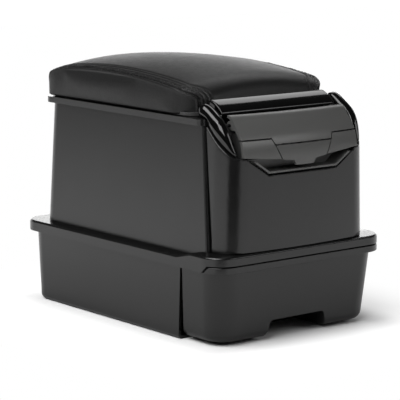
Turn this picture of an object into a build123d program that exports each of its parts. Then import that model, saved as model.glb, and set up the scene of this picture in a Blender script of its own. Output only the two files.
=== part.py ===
# Car centre armrest: storage box with a hinged padded lid, a gloss front bezel with a
# hinged pocket flap and latch, and a pull-out cup drawer in the base. Millimetres.
# X is the width, the front faces -Y, Z is up, and the origin is the bottom centre.
import os
from math import asin, degrees

from build123d import *

os.makedirs("parts", exist_ok=True)

# Flange, base tub and deck
FLANGE_WIDTH = 200.0
FLANGE_LENGTH = 300.0
FLANGE_CORNER = 22.0
FLANGE_ROUND = 2.0
TUB_HEIGHT = 67.5
BAND_HEIGHT = 10.0
NOSE_STEP = 4.5
NOSE_LENGTH = 38.0
NOSE_RAMP = 19.0
WALL = 3.0
DECK_PLATE = 3.0
BAND_WIDTH = 8.0
FLANGE_OVERHANG = 5.5
TUB_DRAFT = 2.0
TUB_FRONT_SETBACK = 58.0
TUB_FRONT_LEAN = 5.0
TUB_CORNER = 22.0
TUB_EDGE = 5.0

# Drawer in the base
DRAWER_TRAVEL = 110.0
DRAWER_GAP = 3.0
FLOOR_GAP = 3.0
DRAWER_OVERHANG = 5.0
DRAWER_DRAFT = 5.5
DRAWER_EDGE = 8.0
DRAWER_CORNER = 22.0
DRAWER_REAR_SETBACK = 100.0
DRAWER_SIDE_ROOM = 14.5
DRAWER_TRAY_TOP = 55.0
LIP_HEIGHT = 5.5
LIP_LENGTH = 15.5
SEAM_GAP = 1.0
NOTCH_TOP_HALF = 31.0
NOTCH_FLARE = 5.0
NOTCH_HEIGHT = 18.0
NOTCH_ROUND = 4.0
RAIL_HOLD = 10.0
RAIL_HEIGHT = 4.0
RAIL_DEPTH = 2.6
RAIL_Z = 40.0
RUNNING_GAP = 0.5
RUNNER_LENGTH = 150.0
RUNNER_HEIGHT = 12.0

# Cup holder insert
CUP_RADIUS = 33.0
CUP_EDGE = 3.0
CUP_WALL = 2.0
CUP_SETBACK = 57.0
INSERT_CLEARANCE = 1.0
INSERT_LENGTH = 76.0

# Main housing
SIDE_LEDGE = 12.0
REAR_LEDGE = 19.0
BODY_HEIGHT = 114.0
BODY_DRAFT = 5.5
REAR_DRAFT = 3.0
BODY_CORNER = 18.0
RIB_SETBACK = 28.0
RIB_LEAN = 12.0
RIB_ROUND = 3.0
RIM_HEIGHT = 5.5
RIM_OVERHANG = 3.6
RIM_CORNER = 14.0
BIN_SETBACK = 62.0
BAY_WALL = 5.0

# Front fascia
FRONT_LEDGE = 2.0
FASCIA_STEP = 4.0
FASCIA_DRAFT = 3.0
FASCIA_CORNER = 24.0
FASCIA_BOW = 4.5
FASCIA_WALL = 4.0
FASCIA_GAP = 1.2
SHOULDER_DROP = 33.5
SHOULDER_DEPTH = 8.5
SHOULDER_LIP = 2.0
RECESS_INSET = 3.0
RECESS_LOW_HALF = 39.5
RECESS_TOP_DROP = 33.0
RECESS_LOW_DROP = 48.5
RECESS_GROOVE = 1.5
RECESS_LIP = 2.0
RECESS_DEPTH = 18.0

# Gloss bezel, flap, trims and latch. Crest and skin points are
# (depth behind the front face, rise over the rim).
CHEEK_WIDTH = 11.0
CHEEK_RISE = 13.6
CHEEK_HEEL = 4.0
CHEEK_CREST = ((46, CHEEK_RISE), (39, 10), (31, 4.9), (24, 0.6), (18.4, -5), (13.6, -13), (9.8, -22),
               (6, -31.5))
STRIP_RISE = 15.8
LID_SETBACK = 54.5
LID_GAP = 2.0
CHEEK_ROUND = 3.0
STRIP_ROUND = 2.5
STRIP_BROW = (42, 11.9)
STRIP_FOOT = (33.5, 4.8)
STRIP_BEAM_RISE = 2.0
STRIP_BEAM_DROP = 8.0
BEZEL_SEAT = 0.3
FLAP_PIN_HOLD = 6.0
FLAP_CLEARANCE = 4.0
FLAP_BOW_RADIUS = 460.0
SKIN_OUTER = ((21.5, 3.6), (17.5, 2.9), (14.6, 0.6), (12.1, -2.9), (6, -10.5), (1.5, -17.5), (-0.6, -24),
              (-1.5, -33), (-1.5, -44))
SKIN_INNER = ((21.5, 1.2), (18.6, 0.6), (16.9, -1), (15.1, -3.7), (9, -11.3), (4.5, -18.3), (2.4, -24.8),
              (1.5, -33.8), (1.5, -44))
FLAP_LOW_DROP = 16.3
FLAP_TOOTH_DROP = 21.7
SLANT_TOP_HALF = 35.0
SLANT_LOW_HALF = 25.5
PANEL_GAP = 1.3
TRIM_LOW_DROP = 35.0
TRIM_OUTER_DROP = 31.5
PADDLE_LOW_DROP = 35.5
TAB_HALF = 12.9
TAB_LOW_HALF = 9.8
TAB_DROP = 6.0
TAB_SHOULDER = 1.5
PIVOT_SETBACK = 23.0
PIVOT_DROP = 5.0
FLAP_PIN_RADIUS = 1.5
PIN_CLEARANCE = 0.05
EAR_RADIUS = 4.0
EAR_WIDTH = 3.0
EAR_ROOT = ((15.5, -9), (21.5, 0))
LATCH_SETBACK = 5.6
LATCH_DROP = 24.5
LATCH_PIN_RADIUS = 1.2
LATCH_EAR_RADIUS = 2.8
LATCH_EAR_AT = 20.0
LATCH_EAR_WIDTH = 4.0
LATCH_EAR_ROOT = 1.3
LATCH_EAR_NECK = 1.8
LATCH_EAR_DROPS = (0.5, 6.0)
POCKET_INSET = 4.5
POCKET_WALL = 2.0
POCKET_FRONT = 9.0
POCKET_MOUTH = 16.0
POCKET_TOP_DROP = 10.0
POCKET_LIP_DROP = 22.0
POCKET_LOW_DROP = 33.0
LATCH_BRACKET_RADIUS = 2.0
HOOK_RISE = 6.0
HOOK_HALF = 1.0
TRIM_POST_INSET = 8.0
TRIM_POST_RADIUS = 2.5
TRIM_POST_LENGTH = 5.2
SPRING_STEEL = 0.5
SPRING_WIDTH = 8.0
SPRING_SEAT_DROP = 4.5
SPRING_BEND_DROP = 7.0
SPRING_TIP = (2.3, 9.3)

# Lid
LID_SIDE_GAP = 2.1
LID_SIDE_LEAN = 2.0
LID_CORNER = 13.0
LID_HEIGHT = 44.0
LID_CROWN = 13.0
LID_ARCH_RADIUS = 700.0
LID_ARCH_AT = 40.0
LID_EDGE = 8.0
LID_SEAT_GAP = 0.6
LID_PAN = 3.0
LID_PAN_INSET = 3.0
SOFT_GAP = 0.3
HINGE_SETBACK = 4.0
HINGE_RISE = 2.0
KNUCKLE_RADIUS = 3.6
KNUCKLE_WIDTH = 12.0
KNUCKLE_GAP = 0.4
HINGE_AT = 48.0
HINGE_PIN_RADIUS = 1.5
KNUCKLE_ROOT = 1.0
PAN_RIB = 5.0
PAN_RIB_WALL = 2.0
PAN_RIB_INSET = 4.0

# Screws
SCREW_RADIUS = 1.5
SCREW_HEAD_RADIUS = 3.2
SCREW_HEAD = 2.0
SCREW_FIT = 0.02
SCREW_TIP_GAP = 0.5
SCREW_END = 2.0
BOSS_RADIUS = 4.5
BOSS_HEIGHT = 8.0
HOUSING_SCREW_X = 60.0
HOUSING_SCREW_INSET = 30.0
FASCIA_SCREW_X = 60.0
FASCIA_SCREW_INSET = 10.0
TUB_TAB = 12.0
POCKET_SCREW_X = 40.0
POCKET_SCREW_DROP = 20.0
LID_SCREW_X = 50.0
LID_SCREW_INSET = 25.0
LID_SCREW_BITE = 5.0

# Levels and places that follow from the sizes above
DECK_TOP = TUB_HEIGHT + BAND_HEIGHT
NOSE_TOP = DECK_TOP + NOSE_STEP
DECK_UNDER = DECK_TOP - DECK_PLATE
BODY_TOP = DECK_TOP + BODY_HEIGHT
RIM_TOP = BODY_TOP + RIM_HEIGHT
FRONT_EDGE = -FLANGE_LENGTH / 2
FRONT_FACE = FRONT_EDGE + FRONT_LEDGE
BODY_HALF = FLANGE_WIDTH / 2 - SIDE_LEDGE
BODY_TOP_HALF = BODY_HALF - BODY_DRAFT
BODY_REAR = FLANGE_LENGTH / 2 - REAR_LEDGE
BODY_TOP_REAR = BODY_REAR - REAR_DRAFT
RIM_HALF = BODY_TOP_HALF + RIM_OVERHANG
RIM_REAR = BODY_TOP_REAR + RIM_OVERHANG
RIB_LOW = FRONT_EDGE + RIB_SETBACK
RIB_HIGH = RIB_LOW + RIB_LEAN
BIN_FRONT = FRONT_EDGE + BIN_SETBACK
LID_FRONT = FRONT_FACE + LID_SETBACK
LID_BOTTOM = RIM_TOP + LID_SEAT_GAP
HINGE_Y = RIM_REAR + HINGE_SETBACK
HINGE_Z = RIM_TOP + HINGE_RISE
TUB_HALF = FLANGE_WIDTH / 2 - FLANGE_OVERHANG
DRAWER_TRAY_HALF = TUB_HALF - DRAWER_SIDE_ROOM
INSERT_HALF = DRAWER_TRAY_HALF - WALL - INSERT_CLEARANCE
CUP_SPACING = 2 * (INSERT_HALF - CUP_EDGE - CUP_WALL - CUP_RADIUS)
TUB_REAR = FLANGE_LENGTH / 2 - FLANGE_OVERHANG
TUB_FRONT = FRONT_EDGE + TUB_FRONT_SETBACK
PIVOT_Y = FRONT_FACE + PIVOT_SETBACK
PIVOT_Z = RIM_TOP - PIVOT_DROP
LATCH_Y = FRONT_FACE + LATCH_SETBACK
LATCH_Z = RIM_TOP - LATCH_DROP
OPENING_HALF = BODY_HALF - FASCIA_STEP - FASCIA_DRAFT - CHEEK_WIDTH
FLAP_HALF = OPENING_HALF - FLAP_CLEARANCE
RECESS_TOP_HALF = FLAP_HALF - RECESS_INSET
POCKET_HALF = FLAP_HALF - POCKET_INSET
LID_HALF = RIM_HALF - LID_SIDE_GAP
LID_REAR = RIM_REAR - SOFT_GAP
RAIL_LENGTH = DRAWER_TRAVEL + RAIL_HOLD
POCKET_REAR = BIN_FRONT - WALL

# Screw places: each points the way its shank goes, with the head behind
HOUSING_SCREWS = [
    Location((x, y, DECK_TOP + WALL), (180, 0, 0)) for x in (-HOUSING_SCREW_X, HOUSING_SCREW_X)
    for y in (BIN_FRONT + HOUSING_SCREW_INSET, BODY_REAR - HOUSING_SCREW_INSET)]
HOUSING_SCREW_LENGTH = WALL + DECK_PLATE + BOSS_HEIGHT - SCREW_END
FASCIA_SCREWS = [
    Location((x, FRONT_FACE + FASCIA_SCREW_INSET, DECK_UNDER))
    for x in (-FASCIA_SCREW_X, FASCIA_SCREW_X)]
FASCIA_SCREW_LENGTH = NOSE_TOP - DECK_UNDER + BOSS_HEIGHT - SCREW_END
TUB_SCREW_X = TUB_HALF - WALL - BOSS_RADIUS
TUB_SCREWS = [
    Location((x, y, TUB_HEIGHT - WALL)) for x in (-TUB_SCREW_X, TUB_SCREW_X)
    for y in (TUB_FRONT + TUB_TAB, TUB_REAR - TUB_CORNER)]
TUB_SCREW_LENGTH = WALL + DECK_UNDER - TUB_HEIGHT - SCREW_END / 2
POCKET_SCREWS = [
    Location((x, POCKET_REAR - POCKET_WALL, RIM_TOP - POCKET_SCREW_DROP), (-90, 0, 0))
    for x in (-POCKET_SCREW_X, POCKET_SCREW_X)]
POCKET_SCREW_LENGTH = POCKET_WALL + WALL - 2 * SCREW_TIP_GAP
LID_SCREWS = [
    Location((x, y, LID_BOTTOM)) for x in (-LID_SCREW_X, LID_SCREW_X)
    for y in (LID_FRONT + LID_SCREW_INSET, LID_REAR - LID_SCREW_INSET)]
LID_SCREW_LENGTH = LID_PAN + LID_SCREW_BITE


def screw_holes(places, length):
    """Clearance holes, in the part being built, for a set of screws."""
    with Locations(*places):
        Cylinder(SCREW_RADIUS + SCREW_FIT, length + SCREW_TIP_GAP,
                 align=(Align.CENTER, Align.CENTER, Align.MIN), mode=Mode.SUBTRACT)


def screw_set(name, places, length):
    """One node of equal pan-head screws."""
    with BuildPart() as screws:
        with Locations(*places):
            Cylinder(SCREW_RADIUS, length, align=(Align.CENTER, Align.CENTER, Align.MIN))
            Cylinder(SCREW_HEAD_RADIUS, SCREW_HEAD, align=(Align.CENTER, Align.CENTER, Align.MAX))
    save(screws, name)


def save(builder, name):
    builder.part.label = name
    export_step(builder.part, f"parts/{name}.step")


def rear_plan(z, half, front, rear, corner, front_corner=0):
    """Plan outline with rounded rear corners, and square or rounded front ones."""
    with BuildSketch(Plane.XY.offset(z)) as plan:
        with Locations((0, (front + rear) / 2)):
            Rectangle(2 * half, rear - front)
        fillet(plan.vertices().group_by(Axis.Y)[-1], corner)
        if front_corner:
            fillet(plan.vertices().group_by(Axis.Y)[0], front_corner)
    return plan.sketch


def front_plan(z, half, front, rear, corner):
    """Plan outline with rounded front corners and square rear ones."""
    with BuildSketch(Plane.XY.offset(z)) as plan:
        with Locations((0, (front + rear) / 2)):
            Rectangle(2 * half, rear - front)
        fillet(plan.vertices().group_by(Axis.Y)[0], corner)
    return plan.sketch


def bowed_plan(z, half, front, rear, corner):
    """Fascia outline: bowed front, rounded front corners, square rear."""
    with BuildSketch(Plane.XY.offset(z)) as plan:
        with BuildLine():
            ThreePointArc((half, front + FASCIA_BOW), (0, front), (-half, front + FASCIA_BOW))
            Polyline((-half, front + FASCIA_BOW), (-half, rear), (half, rear), (half, front + FASCIA_BOW))
        make_face()
        fillet(plan.vertices().group_by(Axis.Y)[0], corner)
    return plan.sketch


def body_half(z):
    return BODY_HALF - BODY_DRAFT * (z - DECK_TOP) / BODY_HEIGHT


def body_rear(z):
    return BODY_REAR - REAR_DRAFT * (z - DECK_TOP) / BODY_HEIGHT


def rib_y(z):
    return RIB_LOW + RIB_LEAN * (z - DECK_TOP) / BODY_HEIGHT


def tub_half(z):
    return TUB_HALF - TUB_DRAFT * (1 - z / TUB_HEIGHT)


def fascia_half(z):
    return BODY_HALF - FASCIA_STEP - FASCIA_DRAFT * (z - NOSE_TOP) / (RIM_TOP - NOSE_TOP)


def front(depth, rise):
    """Side view point, measured back from the front face and up from the rim."""
    return (FRONT_FACE + depth, RIM_TOP + rise)


def side_profile(*points, x=0):
    """Side view outline (y, z) with straight edges, at one x."""
    with BuildSketch(Plane.YZ.offset(x)) as profile:
        with BuildLine():
            Polyline(*points, close=True)
        make_face()
    return profile.sketch


def front_outline(*points):
    """Front view outline (x, z), given on the right half and mirrored."""
    left = [(-x, z) for x, z in reversed(points)]
    with BuildSketch(Plane.XZ) as outline:
        with BuildLine():
            Polyline(*points, *left, close=True)
        make_face()
    return outline.sketch


# Base tub: open at the front for the drawer, open at the top under the deck
with BuildPart() as base_tub:
    loft(sections=[
        rear_plan(0, TUB_HALF - TUB_DRAFT, TUB_FRONT + TUB_FRONT_LEAN, TUB_REAR - TUB_DRAFT, TUB_CORNER),
        rear_plan(TUB_HEIGHT, TUB_HALF, TUB_FRONT, TUB_REAR, TUB_CORNER)], ruled=True)
    low_edges = base_tub.edges().group_by(Axis.Z)[0].sort_by(Axis.Y)[1:]
    fillet(low_edges, TUB_EDGE)
    loft(sections=[
        rear_plan(WALL, TUB_HALF - TUB_DRAFT - WALL, FRONT_EDGE, TUB_REAR - TUB_DRAFT - WALL,
                  TUB_CORNER - WALL),
        rear_plan(TUB_HEIGHT, TUB_HALF - WALL, FRONT_EDGE, TUB_REAR - WALL, TUB_CORNER - WALL)],
        ruled=True, mode=Mode.SUBTRACT)
    with Locations(*TUB_SCREWS):
        Box(TUB_TAB, TUB_TAB, WALL, align=(Align.CENTER, Align.CENTER, Align.MIN))
    screw_holes(TUB_SCREWS, TUB_SCREW_LENGTH)
save(base_tub, "base_tub")

# Deck: a flange band round a plate, with a raised nose over the drawer
nose_under = TUB_HEIGHT + LIP_HEIGHT + SEAM_GAP
seam_low = FRONT_EDGE + LIP_LENGTH + LIP_HEIGHT + SEAM_GAP
seam_high = FRONT_EDGE + LIP_LENGTH
nose_start = FRONT_EDGE + NOSE_LENGTH + NOSE_RAMP
nose_full = FRONT_EDGE + NOSE_LENGTH
with BuildPart() as skirt_deck:
    with BuildSketch(Plane.XY.offset(TUB_HEIGHT)):
        RectangleRounded(FLANGE_WIDTH, FLANGE_LENGTH, FLANGE_CORNER)
    extrude(amount=NOSE_TOP - TUB_HEIGHT)
    extrude(side_profile(
        (FRONT_EDGE, nose_under), (seam_high, nose_under), (seam_low, TUB_HEIGHT),
        (-FRONT_EDGE, TUB_HEIGHT), (-FRONT_EDGE, DECK_TOP), (nose_start, DECK_TOP),
        (nose_full, NOSE_TOP), (FRONT_EDGE, NOSE_TOP)),
        amount=FLANGE_WIDTH, both=True, mode=Mode.INTERSECT)
    fillet([edge for edge in skirt_deck.edges() if edge.center().Z > DECK_UNDER
            and abs(edge.length - FLANGE_WIDTH) > SEAM_GAP], FLANGE_ROUND)
    with BuildSketch(Plane.XY.offset(TUB_HEIGHT)):
        RectangleRounded(FLANGE_WIDTH - 2 * BAND_WIDTH, FLANGE_LENGTH - 2 * BAND_WIDTH,
                         FLANGE_CORNER - BAND_WIDTH)
    extrude(amount=DECK_UNDER - TUB_HEIGHT, mode=Mode.SUBTRACT)
    with Locations(*[(place.position.X, place.position.Y, DECK_UNDER) for place in HOUSING_SCREWS]):
        Cylinder(BOSS_RADIUS, BOSS_HEIGHT, align=(Align.CENTER, Align.CENTER, Align.MAX))
    with Locations(*[(place.position.X, place.position.Y, TUB_HEIGHT) for place in TUB_SCREWS]):
        Cylinder(BOSS_RADIUS, DECK_UNDER - TUB_HEIGHT, align=(Align.CENTER, Align.CENTER, Align.MIN))
    screw_holes(HOUSING_SCREWS, HOUSING_SCREW_LENGTH)
    screw_holes(TUB_SCREWS, TUB_SCREW_LENGTH)
    screw_holes(FASCIA_SCREWS, FASCIA_SCREW_LENGTH)
save(skirt_deck, "skirt_deck")

# Main housing: the storage bin, its overhanging rim, the open bay behind the fascia
with BuildPart() as main_housing:
    loft(sections=[
        rear_plan(DECK_TOP, BODY_HALF, RIB_LOW, BODY_REAR, BODY_CORNER, RIB_ROUND),
        rear_plan(BODY_TOP, BODY_TOP_HALF, RIB_HIGH, BODY_TOP_REAR, BODY_CORNER, RIB_ROUND)], ruled=True)
    extrude(rear_plan(BODY_TOP, RIM_HALF, RIB_HIGH - FASCIA_GAP / 2, RIM_REAR, RIM_CORNER,
                      RIB_ROUND + RIM_OVERHANG), amount=RIM_HEIGHT)
    loft(sections=[
        rear_plan(z, body_half(z) - WALL, BIN_FRONT, body_rear(z) - WALL, BODY_CORNER - WALL)
        for z in (DECK_TOP + WALL, RIM_TOP)], ruled=True, mode=Mode.SUBTRACT)
    loft(sections=[
        rear_plan(z, body_half(z) - BAY_WALL, FRONT_EDGE, BIN_FRONT - WALL, BAY_WALL)
        for z in (NOSE_TOP + WALL, RIM_TOP)], ruled=True, mode=Mode.SUBTRACT)
    extrude(side_profile(
        (nose_start, DECK_TOP), (nose_full, NOSE_TOP), (FRONT_EDGE, NOSE_TOP), (FRONT_EDGE, DECK_TOP)),
        amount=FLANGE_WIDTH, both=True, mode=Mode.SUBTRACT)
    for side in (-1, 1):
        for step in (-1, 1):
            knuckle_x = side * HINGE_AT + step * (KNUCKLE_WIDTH + KNUCKLE_GAP)
            extrude(side_profile(
                (RIM_REAR - KNUCKLE_ROOT, BODY_TOP), (HINGE_Y, HINGE_Z - KNUCKLE_RADIUS),
                (HINGE_Y, HINGE_Z), (RIM_REAR - KNUCKLE_ROOT, RIM_TOP), x=knuckle_x),
                amount=KNUCKLE_WIDTH / 2, both=True)
            with Locations((knuckle_x, HINGE_Y, HINGE_Z)):
                Cylinder(KNUCKLE_RADIUS, KNUCKLE_WIDTH, rotation=(0, 90, 0))
    with Locations((0, HINGE_Y, HINGE_Z)):
        Cylinder(HINGE_PIN_RADIUS + SCREW_FIT, FLANGE_WIDTH, rotation=(0, 90, 0), mode=Mode.SUBTRACT)
    screw_holes(HOUSING_SCREWS, HOUSING_SCREW_LENGTH)
    screw_holes(POCKET_SCREWS, POCKET_SCREW_LENGTH)
save(main_housing, "main_housing")

# Front fascia: a bowed shell with rounded corners, sloping shoulders and the recess opening
with BuildPart() as front_fascia:
    loft(sections=[
        bowed_plan(z, fascia_half(z), FRONT_FACE, RIB_HIGH, FASCIA_CORNER)
        for z in (NOSE_TOP, RIM_TOP)], ruled=True)
    loft(sections=[
        bowed_plan(z, fascia_half(z) - FASCIA_WALL, FRONT_FACE + FASCIA_WALL, RIB_HIGH,
                   FASCIA_CORNER - FASCIA_WALL) for z in (NOSE_TOP, RIM_TOP)],
        ruled=True, mode=Mode.SUBTRACT)
    extrude(side_profile(
        (FRONT_EDGE, NOSE_TOP), (rib_y(NOSE_TOP) - FASCIA_GAP, NOSE_TOP),
        (rib_y(BODY_TOP) - FASCIA_GAP, BODY_TOP), front(SHOULDER_DEPTH, SHOULDER_LIP - SHOULDER_DROP),
        (FRONT_EDGE, RIM_TOP - SHOULDER_DROP)), amount=FLANGE_WIDTH, both=True, mode=Mode.INTERSECT)
    extrude(front_outline(
        (RECESS_TOP_HALF, RIM_TOP), (RECESS_TOP_HALF, RIM_TOP - RECESS_TOP_DROP),
        (RECESS_LOW_HALF, RIM_TOP - RECESS_LOW_DROP)), amount=FLANGE_LENGTH, mode=Mode.SUBTRACT)
    with Locations(*[(place.position.X, place.position.Y, NOSE_TOP) for place in FASCIA_SCREWS]):
        Cylinder(BOSS_RADIUS, BOSS_HEIGHT, align=(Align.CENTER, Align.CENTER, Align.MIN))
    screw_holes(FASCIA_SCREWS, FASCIA_SCREW_LENGTH)
save(front_fascia, "front_fascia")

# Gloss bezel: two cheeks and the strip between the lid and the flap
with BuildPart() as gloss_bezel:
    with BuildSketch(Plane.YZ):
        with BuildLine():
            crest = Spline(*[front(depth, rise) for depth, rise in CHEEK_CREST])
            back_edge = FRONT_FACE + LID_SETBACK - 2 * LID_GAP
            Polyline(crest @ 1, front(SHOULDER_DEPTH, SHOULDER_LIP - SHOULDER_DROP + BEZEL_SEAT),
                     (RIB_HIGH - FASCIA_GAP, BODY_TOP + BEZEL_SEAT),
                     (RIB_HIGH - FASCIA_GAP, RIM_TOP), (back_edge, RIM_TOP),
                     (back_edge, RIM_TOP + CHEEK_RISE - CHEEK_HEEL))
            TangentArc((back_edge, RIM_TOP + CHEEK_RISE - CHEEK_HEEL), crest @ 0, tangent=(0, 1))
        make_face()
    extrude(amount=FLANGE_WIDTH, both=True)
    extrude(bowed_plan(NOSE_TOP, fascia_half(RIM_TOP), FRONT_FACE, BIN_FRONT, FASCIA_CORNER),
            amount=RIM_TOP, mode=Mode.INTERSECT)
    with Locations((0, FRONT_EDGE / 2, RIM_TOP)):
        Box(2 * OPENING_HALF, FLANGE_LENGTH, 2 * BODY_HEIGHT, mode=Mode.SUBTRACT)
    ridges = gloss_bezel.faces().filter_by(GeomType.EXTRUSION).edges()
    fillet([edge for edge in ridges if abs(edge.center().X) > OPENING_HALF + SEAM_GAP], CHEEK_ROUND)
    strip_back = LID_SETBACK - LID_GAP
    with BuildSketch(Plane.YZ) as strip:
        with BuildLine():
            ThreePointArc(front(strip_back, STRIP_RISE), front(*STRIP_BROW), front(*STRIP_FOOT))
            Polyline(front(*STRIP_FOOT), front(STRIP_FOOT[0], 0), front(strip_back, 0),
                     front(strip_back, STRIP_RISE))
        make_face()
        fillet(strip.vertices().sort_by(Axis.Y)[-2:], STRIP_ROUND)
    extrude(amount=FLAP_HALF, both=True)
    extrude(side_profile(
        front(strip_back, STRIP_BEAM_RISE), front(STRIP_FOOT[0], STRIP_BEAM_RISE),
        front(STRIP_FOOT[0], -STRIP_BEAM_DROP), front(strip_back, -STRIP_BEAM_DROP)),
        amount=OPENING_HALF, both=True)
    for side in (-1, 1):
        with Locations((side * OPENING_HALF, PIVOT_Y, PIVOT_Z)):
            Cylinder(FLAP_PIN_RADIUS + SCREW_FIT, 2 * FLAP_PIN_HOLD, rotation=(0, 90, 0),
                     mode=Mode.SUBTRACT)
save(gloss_bezel, "gloss_bezel")

# Finger recess: a scoop behind the fascia opening, with a lip inside the groove
recess_top = RIM_TOP - TRIM_LOW_DROP - SOFT_GAP
scoop = front_outline(
    (RECESS_TOP_HALF, RIM_TOP), (RECESS_TOP_HALF, RIM_TOP - RECESS_TOP_DROP),
    (RECESS_LOW_HALF, RIM_TOP - RECESS_LOW_DROP))


def scoop_block(inset, front_y, depth):
    """A block of the recess outline, inset and pushed back from one y."""
    with BuildPart() as block:
        with BuildSketch(Plane.XZ) as outline:
            offset(scoop, amount=-inset, kind=Kind.INTERSECTION)
        extrude(outline.sketch.moved(Location((0, front_y, 0))), amount=-depth)
    return block.part


with BuildPart() as finger_recess:
    flange_y = FRONT_FACE + FASCIA_WALL + FASCIA_BOW * (RECESS_TOP_HALF / BODY_HALF) ** 2 + 3 * SOFT_GAP
    add(scoop_block(-RECESS_LIP, flange_y, RECESS_LIP))
    add(scoop_block(RECESS_GROOVE, FRONT_FACE + RECESS_LIP / 2, RECESS_DEPTH))
    add(scoop_block(RECESS_GROOVE + RECESS_LIP, FRONT_EDGE, RECESS_DEPTH), mode=Mode.SUBTRACT)
    split(bisect_by=Plane.XY.offset(recess_top), keep=Keep.BOTTOM)
save(finger_recess, "finger_recess")

# Front skin: one doubly curved wall that the flap, the trims and the latch are cut from
bow_axis_y = FRONT_FACE + FLAP_BOW_RADIUS
bow_angle = degrees(asin(FLAP_HALF / FLAP_BOW_RADIUS)) + 1
bow_start = Vector(0, -1, 0).rotate(Axis.Z, -bow_angle)
with BuildPart() as front_skin:
    with BuildSketch(Plane((0, bow_axis_y, RIM_TOP), x_dir=bow_start,
                           z_dir=bow_start.cross(Vector(0, 0, 1)))):
        with BuildLine():
            outer = Spline(*[(FLAP_BOW_RADIUS - depth, rise) for depth, rise in SKIN_OUTER])
            inner = Spline(*[(FLAP_BOW_RADIUS - depth, rise) for depth, rise in SKIN_INNER])
            Line(outer @ 0, inner @ 0)
            Line(outer @ 1, inner @ 1)
        make_face()
    revolve(axis=Axis((0, bow_axis_y, 0), (0, 0, 1)), revolution_arc=2 * bow_angle)


def slant(drop):
    """Half-width of the slanted joint between the trims and the latch."""
    share = (drop - FLAP_LOW_DROP) / (TRIM_LOW_DROP - FLAP_LOW_DROP)
    return SLANT_TOP_HALF + (SLANT_LOW_HALF - SLANT_TOP_HALF) * share


# Pocket flap: hinged at its rolled top edge on two ears
with BuildPart() as flap_panel:
    add(front_skin.part)
    extrude(front_outline(
        (FLAP_HALF, RIM_TOP + STRIP_RISE), (FLAP_HALF, RIM_TOP - FLAP_LOW_DROP),
        (slant(FLAP_LOW_DROP), RIM_TOP - FLAP_LOW_DROP),
        (slant(FLAP_TOOTH_DROP), RIM_TOP - FLAP_TOOTH_DROP)),
        amount=FLANGE_LENGTH, mode=Mode.INTERSECT)
    for side in (-1, 1):
        ear_x = side * (FLAP_HALF - EAR_WIDTH / 2 - RUNNING_GAP / 2)
        extrude(side_profile(
            front(*EAR_ROOT[0]), front(*EAR_ROOT[1]), front(PIVOT_SETBACK, EAR_RADIUS - PIVOT_DROP),
            front(PIVOT_SETBACK + EAR_RADIUS / 2, -PIVOT_DROP - EAR_RADIUS), x=ear_x),
            amount=EAR_WIDTH / 2, both=True)
        with Locations((ear_x, PIVOT_Y, PIVOT_Z)):
            Cylinder(EAR_RADIUS, EAR_WIDTH, rotation=(0, 90, 0))
            Cylinder(FLAP_PIN_RADIUS + PIN_CLEARANCE, 2 * EAR_WIDTH, rotation=(0, 90, 0),
                     mode=Mode.SUBTRACT)
save(flap_panel, "flap_panel")

# Trim panels below the flap, on posts that stand on the pocket
for side, name in ((-1, "trim_panel_left"), (1, "trim_panel_right")):
    with BuildPart() as trim_panel:
        add(front_skin.part)
        with BuildSketch(Plane.XZ):
            with BuildLine():
                trim_top = FLAP_LOW_DROP + PANEL_GAP
                Polyline((side * FLAP_HALF, RIM_TOP - trim_top),
                         (side * FLAP_HALF, RIM_TOP - TRIM_OUTER_DROP),
                         (side * (slant(TRIM_LOW_DROP) + PANEL_GAP), RIM_TOP - TRIM_LOW_DROP),
                         (side * (slant(trim_top) + PANEL_GAP), RIM_TOP - trim_top), close=True)
            make_face()
        extrude(amount=FLANGE_LENGTH, mode=Mode.INTERSECT)
        for post_x in (SLANT_TOP_HALF + TRIM_POST_INSET, FLAP_HALF - TRIM_POST_INSET):
            with Locations(Location((side * post_x, FRONT_FACE + POCKET_FRONT, LATCH_Z), (90, 0, 0))):
                Cylinder(TRIM_POST_RADIUS, TRIM_POST_LENGTH, align=(Align.CENTER, Align.CENTER, Align.MIN))
    save(trim_panel, name)

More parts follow.
